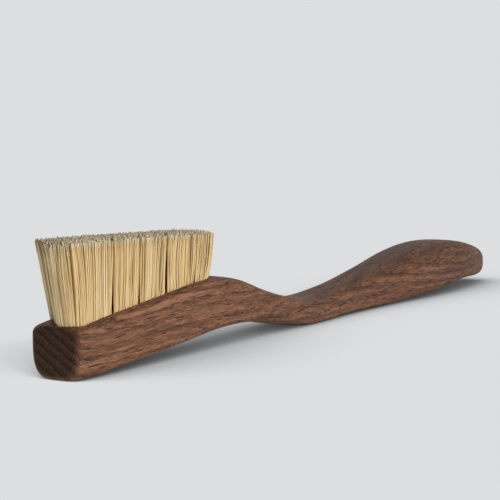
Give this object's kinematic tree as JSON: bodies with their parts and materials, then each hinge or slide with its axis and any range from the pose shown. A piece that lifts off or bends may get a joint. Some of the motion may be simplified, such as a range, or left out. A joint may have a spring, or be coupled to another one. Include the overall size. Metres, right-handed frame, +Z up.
{
  "type": "clothes brush",
  "caption": "Slim wooden clothes brush lying on its back: a flat square head set with upright natural bristle tufts, a thin curved neck and a swelling rounded handle, cut from one piece.",
  "frame": {"origin": "on the surface that the brush lies on, under the middle of its overall box", "axes": "+X from the toe of the head to the end of the handle, +Y across the brush, +Z up through the bristles while the brush lies on its back"},
  "size_m": [0.3018, 0.0266, 0.0395],
  "materials": {
    "wood": "dark oiled open-pored hardwood, satin",
    "bristle": "pale straw natural bristle, trimmed level at the tips",
    "anchor_wire": "plain flat wire"
  },
  "bodies": {
    "root": {"brush_body": "wood", "tuft_near_01": "bristle", "tuft_near_02": "bristle", "tuft_near_03": "bristle", "tuft_near_04": "bristle", "tuft_near_05": "bristle", "tuft_near_06": "bristle", "tuft_near_07": "bristle", "tuft_near_08": "bristle", "tuft_near_09": "bristle", "tuft_near_10": "bristle", "tuft_middle_01": "bristle", "tuft_middle_02": "bristle", "tuft_middle_03": "bristle", "tuft_middle_04": "bristle", "tuft_middle_05": "bristle", "tuft_middle_06": "bristle", "tuft_middle_07": "bristle", "tuft_middle_08": "bristle", "tuft_middle_09": "bristle", "tuft_middle_10": "bristle", "tuft_far_01": "bristle", "tuft_far_02": "bristle", "tuft_far_03": "bristle", "tuft_far_04": "bristle", "tuft_far_05": "bristle", "tuft_far_06": "bristle", "tuft_far_07": "bristle", "tuft_far_08": "bristle", "tuft_far_09": "bristle", "anchor_near_01": "anchor_wire", "anchor_near_02": "anchor_wire", "anchor_near_03": "anchor_wire", "anchor_near_04": "anchor_wire", "anchor_near_05": "anchor_wire", "anchor_near_06": "anchor_wire", "anchor_near_07": "anchor_wire", "anchor_near_08": "anchor_wire", "anchor_near_09": "anchor_wire", "anchor_near_10": "anchor_wire", "anchor_middle_01": "anchor_wire", "anchor_middle_02": "anchor_wire", "anchor_middle_03": "anchor_wire", "anchor_middle_04": "anchor_wire", "anchor_middle_05": "anchor_wire", "anchor_middle_06": "anchor_wire", "anchor_middle_07": "anchor_wire", "anchor_middle_08": "anchor_wire", "anchor_middle_09": "anchor_wire", "anchor_middle_10": "anchor_wire", "anchor_far_01": "anchor_wire", "anchor_far_02": "anchor_wire", "anchor_far_03": "anchor_wire", "anchor_far_04": "anchor_wire", "anchor_far_05": "anchor_wire", "anchor_far_06": "anchor_wire", "anchor_far_07": "anchor_wire", "anchor_far_08": "anchor_wire", "anchor_far_09": "anchor_wire"}
  },
  "joints": []
}
